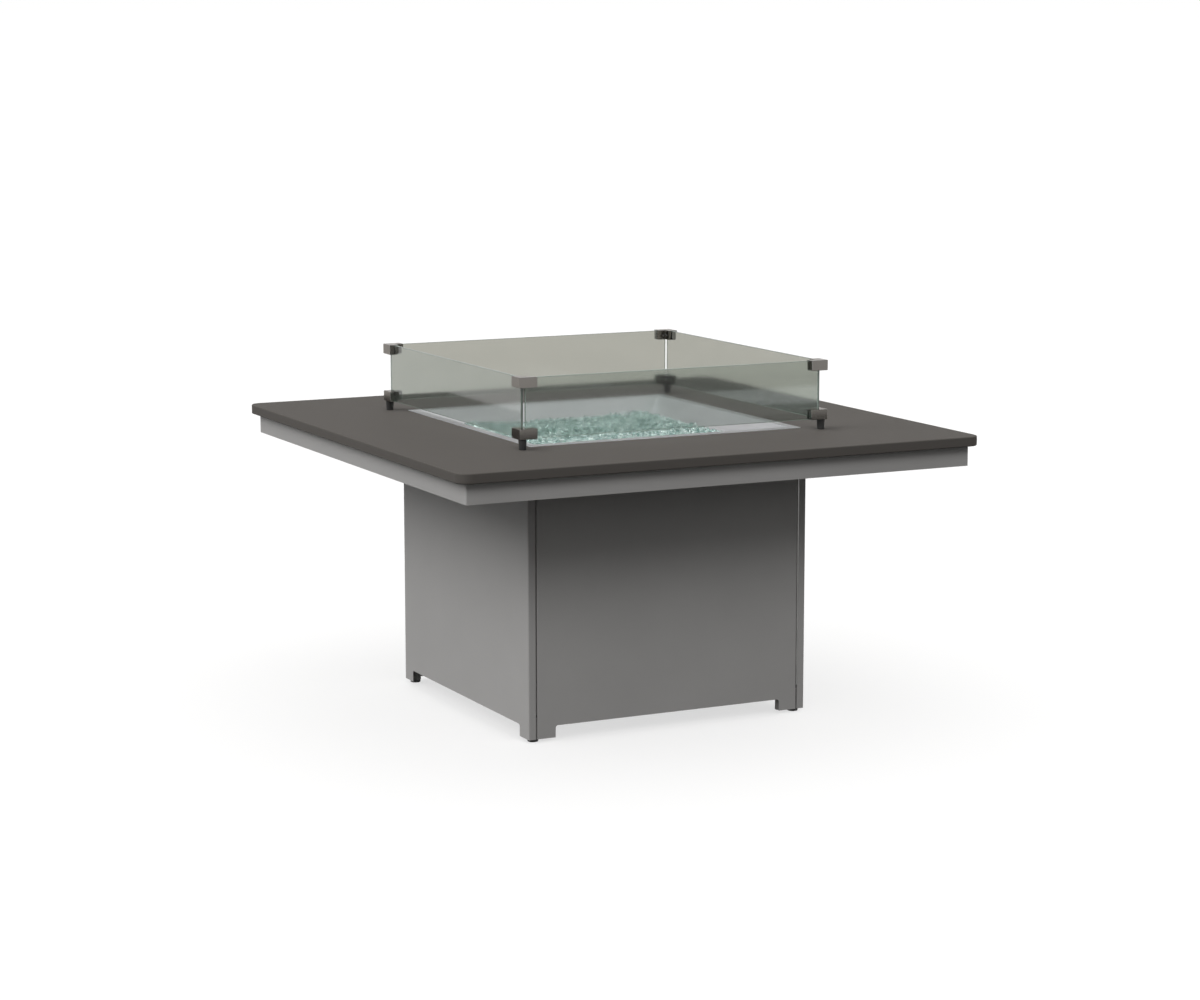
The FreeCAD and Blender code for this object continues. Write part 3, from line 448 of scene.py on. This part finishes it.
# -------------------------------------------------------------------- crushed glass
def shard_shape(random):
    """Points and triangles of one chipped convex shard, one unit in half-size."""
    points = random.normal(size=(shard_points, 3))
    points /= np.linalg.norm(points, axis=1)[:, None]
    points *= random.uniform(*shard_reach, (shard_points, 1))
    points *= random.uniform(shard_narrow, shard_wide)
    hull = bmesh.new()
    for point in points:
        hull.verts.new(point)
    bmesh.ops.convex_hull(hull, input=hull.verts)
    loose = [v for v in hull.verts if not v.link_faces]
    bmesh.ops.delete(hull, geom=loose, context="VERTS")
    hull.verts.index_update()
    corners = np.array([v.co for v in hull.verts])
    faces = np.array([[v.index for v in f.verts] for f in hull.faces])
    hull.free()
    return corners, faces


def turns(random, count):
    """Random rotation matrices, evenly spread."""
    q = random.normal(size=(count, 4))
    w, x, y, z = (q / np.linalg.norm(q, axis=1)[:, None]).T
    rows = [
        [1 - 2 * (y * y + z * z), 2 * (x * y - z * w), 2 * (x * z + y * w)],
        [2 * (x * y + z * w), 1 - 2 * (x * x + z * z), 2 * (y * z - x * w)],
        [2 * (x * z - y * w), 2 * (y * z + x * w), 1 - 2 * (x * x + y * y)],
    ]
    return np.array(rows).transpose(2, 0, 1)


def mound(x, y, half, top):
    """Height of the bed: level edge, crowned middle and a few soft heaps."""
    inward = half - np.maximum(np.abs(x), np.abs(y))
    crown = shard_crown * np.clip(inward / shard_crown_run, 0, 1)
    wide = np.sin(wide_heaps[0] * x + wide_phase[0]) * np.cos(wide_heaps[1] * y + wide_phase[1])
    small = small_heap_share * np.sin(small_heaps[0] * x + small_heaps[1] * y)
    return top - shard_crown + crown + 0.5 * shard_mound * (wide + small)


def shard_places(random):
    """Where the shards lie: jittered layers under the top of the bed."""
    bed_low, bed_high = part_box("fire_glass")
    half, top, floor = bed_high.x, bed_high.z, bed_low.z
    hood_low, hood_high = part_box("pilot_hood")
    hood_at = (hood_low + hood_high) / 2
    hood_reach = (hood_high.x - hood_low.x) / 2 + hood_clearance
    steps = np.arange(-half, half, shard_pitch)
    places = []
    for layer in range(shard_layers):
        x, y = (g.ravel() for g in np.meshgrid(steps, steps))
        x = x + random.uniform(-shard_jitter, shard_jitter, len(x)) * shard_pitch
        y = y + random.uniform(-shard_jitter, shard_jitter, len(y)) * shard_pitch
        z = mound(x, y, half, top) - shard_half[0] - layer * shard_layer
        z = z + random.normal(0, shard_scatter * shard_layer, len(z))
        wall = half - pan_slope * (top - shard_crown - z) - shard_half[0]
        inside = (np.abs(x) < wall) & (np.abs(y) < wall) & (z > floor + shard_half[1])
        clear = np.hypot(x - hood_at.x, y - hood_at.y) > hood_reach + shard_half[1]
        chosen = inside & clear
        places.append(np.stack([x[chosen], y[chosen], z[chosen]], 1))
    return np.concatenate(places)


def crushed_glass():
    """The bed of fire glass, as one mesh of separate shards."""
    random = np.random.default_rng(shard_seed)
    shapes = [shard_shape(random) for _ in range(shard_kinds)]
    places = shard_places(random)
    kinds = random.integers(0, shard_kinds, len(places))
    sizes = random.uniform(*shard_half, len(places))
    spin = turns(random, len(places))
    corners, faces, start = [], [], 0
    for place, kind, size, turn in zip(places, kinds, sizes, spin):
        points, triangles = shapes[kind]
        corners.append(points @ turn.T * size + place)
        faces.append(triangles + start)
        start += len(points)
    data = bpy.data.meshes.new("crushed_fire_glass")
    data.from_pydata(np.concatenate(corners).tolist(), [], np.concatenate(faces).tolist())
    data.materials.append(aqua_glass("aqua_glass"))
    bed = bpy.data.objects.new("crushed_fire_glass", data)
    bpy.context.scene.collection.objects.link(bed)
    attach(bed, "table_frame")
    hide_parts("fire_glass")
    bed.visible_shadow = False


# ---------------------------------------------------------------------------- stage
def paper_bowl(name, white, warmth):
    """Round sheet of paper that curves up all round, so that any view ends in it."""
    rings = [(0.0, 0.0), (floor_flat, 0.0)]
    for k in range(1, floor_rings + 1):
        angle = math.radians(floor_sweep_angle) * k / floor_rings
        out = floor_flat + floor_sweep * math.sin(angle)
        rings.append((out, floor_sweep * (1 - math.cos(angle))))
    points, faces = [], []
    for radius, height in rings:
        for s in range(floor_segments):
            around = 2 * math.pi * s / floor_segments
            points.append((radius * math.cos(around), radius * math.sin(around), height))
    for r in range(len(rings) - 1):
        for s in range(floor_segments):
            after = (s + 1) % floor_segments
            low, high = r * floor_segments, (r + 1) * floor_segments
            faces.append((low + s, low + after, high + after, high + s))
    data = bpy.data.meshes.new(name)
    data.from_pydata(points, [], faces)
    for face in data.polygons:
        face.use_smooth = True
    paper = Finish(name + "_paper", Specular_IOR_Level=0.0)
    fibre = paper.noise(0.8, 2.0)
    paper.feed("Base Color", paper.tint(fibre, grey(white * paper_shade, warmth), grey(white, warmth)))
    paper.feed("Roughness", paper.between(fibre, 0.8, 0.9))
    data.materials.append(paper.material)
    bowl = bpy.data.objects.new(name, data)
    bpy.context.scene.collection.objects.link(bowl)
    bowl.visible_diffuse = False
    bowl.visible_shadow = False
    return bowl


def studio_floor():
    """White floor, and the grey one that shows only through the glass."""
    white = paper_bowl("studio_floor", floor_white, 0.0)
    white.visible_transmission = False
    behind = paper_bowl("floor_behind_glass", floor_behind_glass, floor_behind_warmth)
    behind.visible_camera = False
    behind.visible_glossy = False
    return [white, behind]


def sky_dome():
    """Even soft dome over the horizon, dark below it."""
    world = bpy.data.worlds.new("sky_dome")
    bpy.context.scene.world = world
    world.use_nodes = True
    tree = world.node_tree
    parts = tree.nodes.new("ShaderNodeSeparateXYZ")
    tree.links.new(tree.nodes.new("ShaderNodeTexCoord").outputs["Generated"], parts.inputs["Vector"])
    rise = tree.nodes.new("ShaderNodeMapRange")
    rise.interpolation_type = "SMOOTHSTEP"
    rise.inputs["From Min"].default_value = -sky_blend
    rise.inputs["From Max"].default_value = sky_blend
    rise.inputs["To Min"].default_value = sky_ground
    rise.inputs["To Max"].default_value = sky_above
    tree.links.new(parts.outputs["Z"], rise.inputs["Value"])
    tree.links.new(rise.outputs["Result"], tree.nodes["Background"].inputs["Strength"])
    tree.nodes["Background"].inputs["Color"].default_value = sky_tint


def direction(azimuth, elevation):
    """Unit vector from the object outwards: azimuth 0 is the front, on the -Y side."""
    a, e = math.radians(azimuth), math.radians(elevation)
    return Vector((math.sin(a) * math.cos(e), -math.cos(a) * math.cos(e), math.sin(e)))


def sun(name, azimuth, elevation, irradiance, width, floors, lights_floor):
    """Broad even light that shines on the floor only, or on all but the floor."""
    light = bpy.data.lights.new(name, "SUN")
    light.energy = irradiance
    light.angle = math.radians(width)
    light.use_shadow = not lights_floor
    lamp = bpy.data.objects.new(name, light)
    lamp.rotation_euler = direction(azimuth, elevation).to_track_quat("Z", "Y").to_euler()
    bpy.context.scene.collection.objects.link(lamp)
    lit = bpy.data.collections.new(name + "_receivers")
    for floor in floors:
        lit.objects.link(floor)
    for entry in lit.collection_objects:
        entry.light_linking.link_state = "INCLUDE" if lights_floor else "EXCLUDE"
    lamp.light_linking.receiver_collection = lit


def studio_light(floors):
    """The dome, the suns on the object, and one light for the floors alone."""
    sky_dome()
    for name, (azimuth, elevation, irradiance, width) in suns.items():
        sun(name, azimuth, elevation, irradiance, width, floors, False)
    sun("floor_wash", 0.0, 90.0, floor_wash, floor_wash_width, floors, True)


def studio_camera():
    lens = bpy.data.cameras.new("camera")
    lens.lens = camera_lens
    lens.sensor_width = camera_sensor
    camera = bpy.data.objects.new("camera", lens)
    aim = Vector((0.0, 0.0, camera_aim * cad_high.z))
    camera.location = aim + direction(camera_azimuth, camera_elevation) * camera_distance
    camera.rotation_euler = (math.radians(90 - camera_elevation), 0.0, math.radians(camera_azimuth))
    bpy.context.scene.collection.objects.link(camera)
    bpy.context.scene.camera = camera


studio_camera()
studio_light(studio_floor())
bpy.context.scene.view_settings.view_transform = "Standard"
dress_cad_nodes()
dress_glass()
dress_feet()
crushed_glass()

bpy.context.view_layer.update()
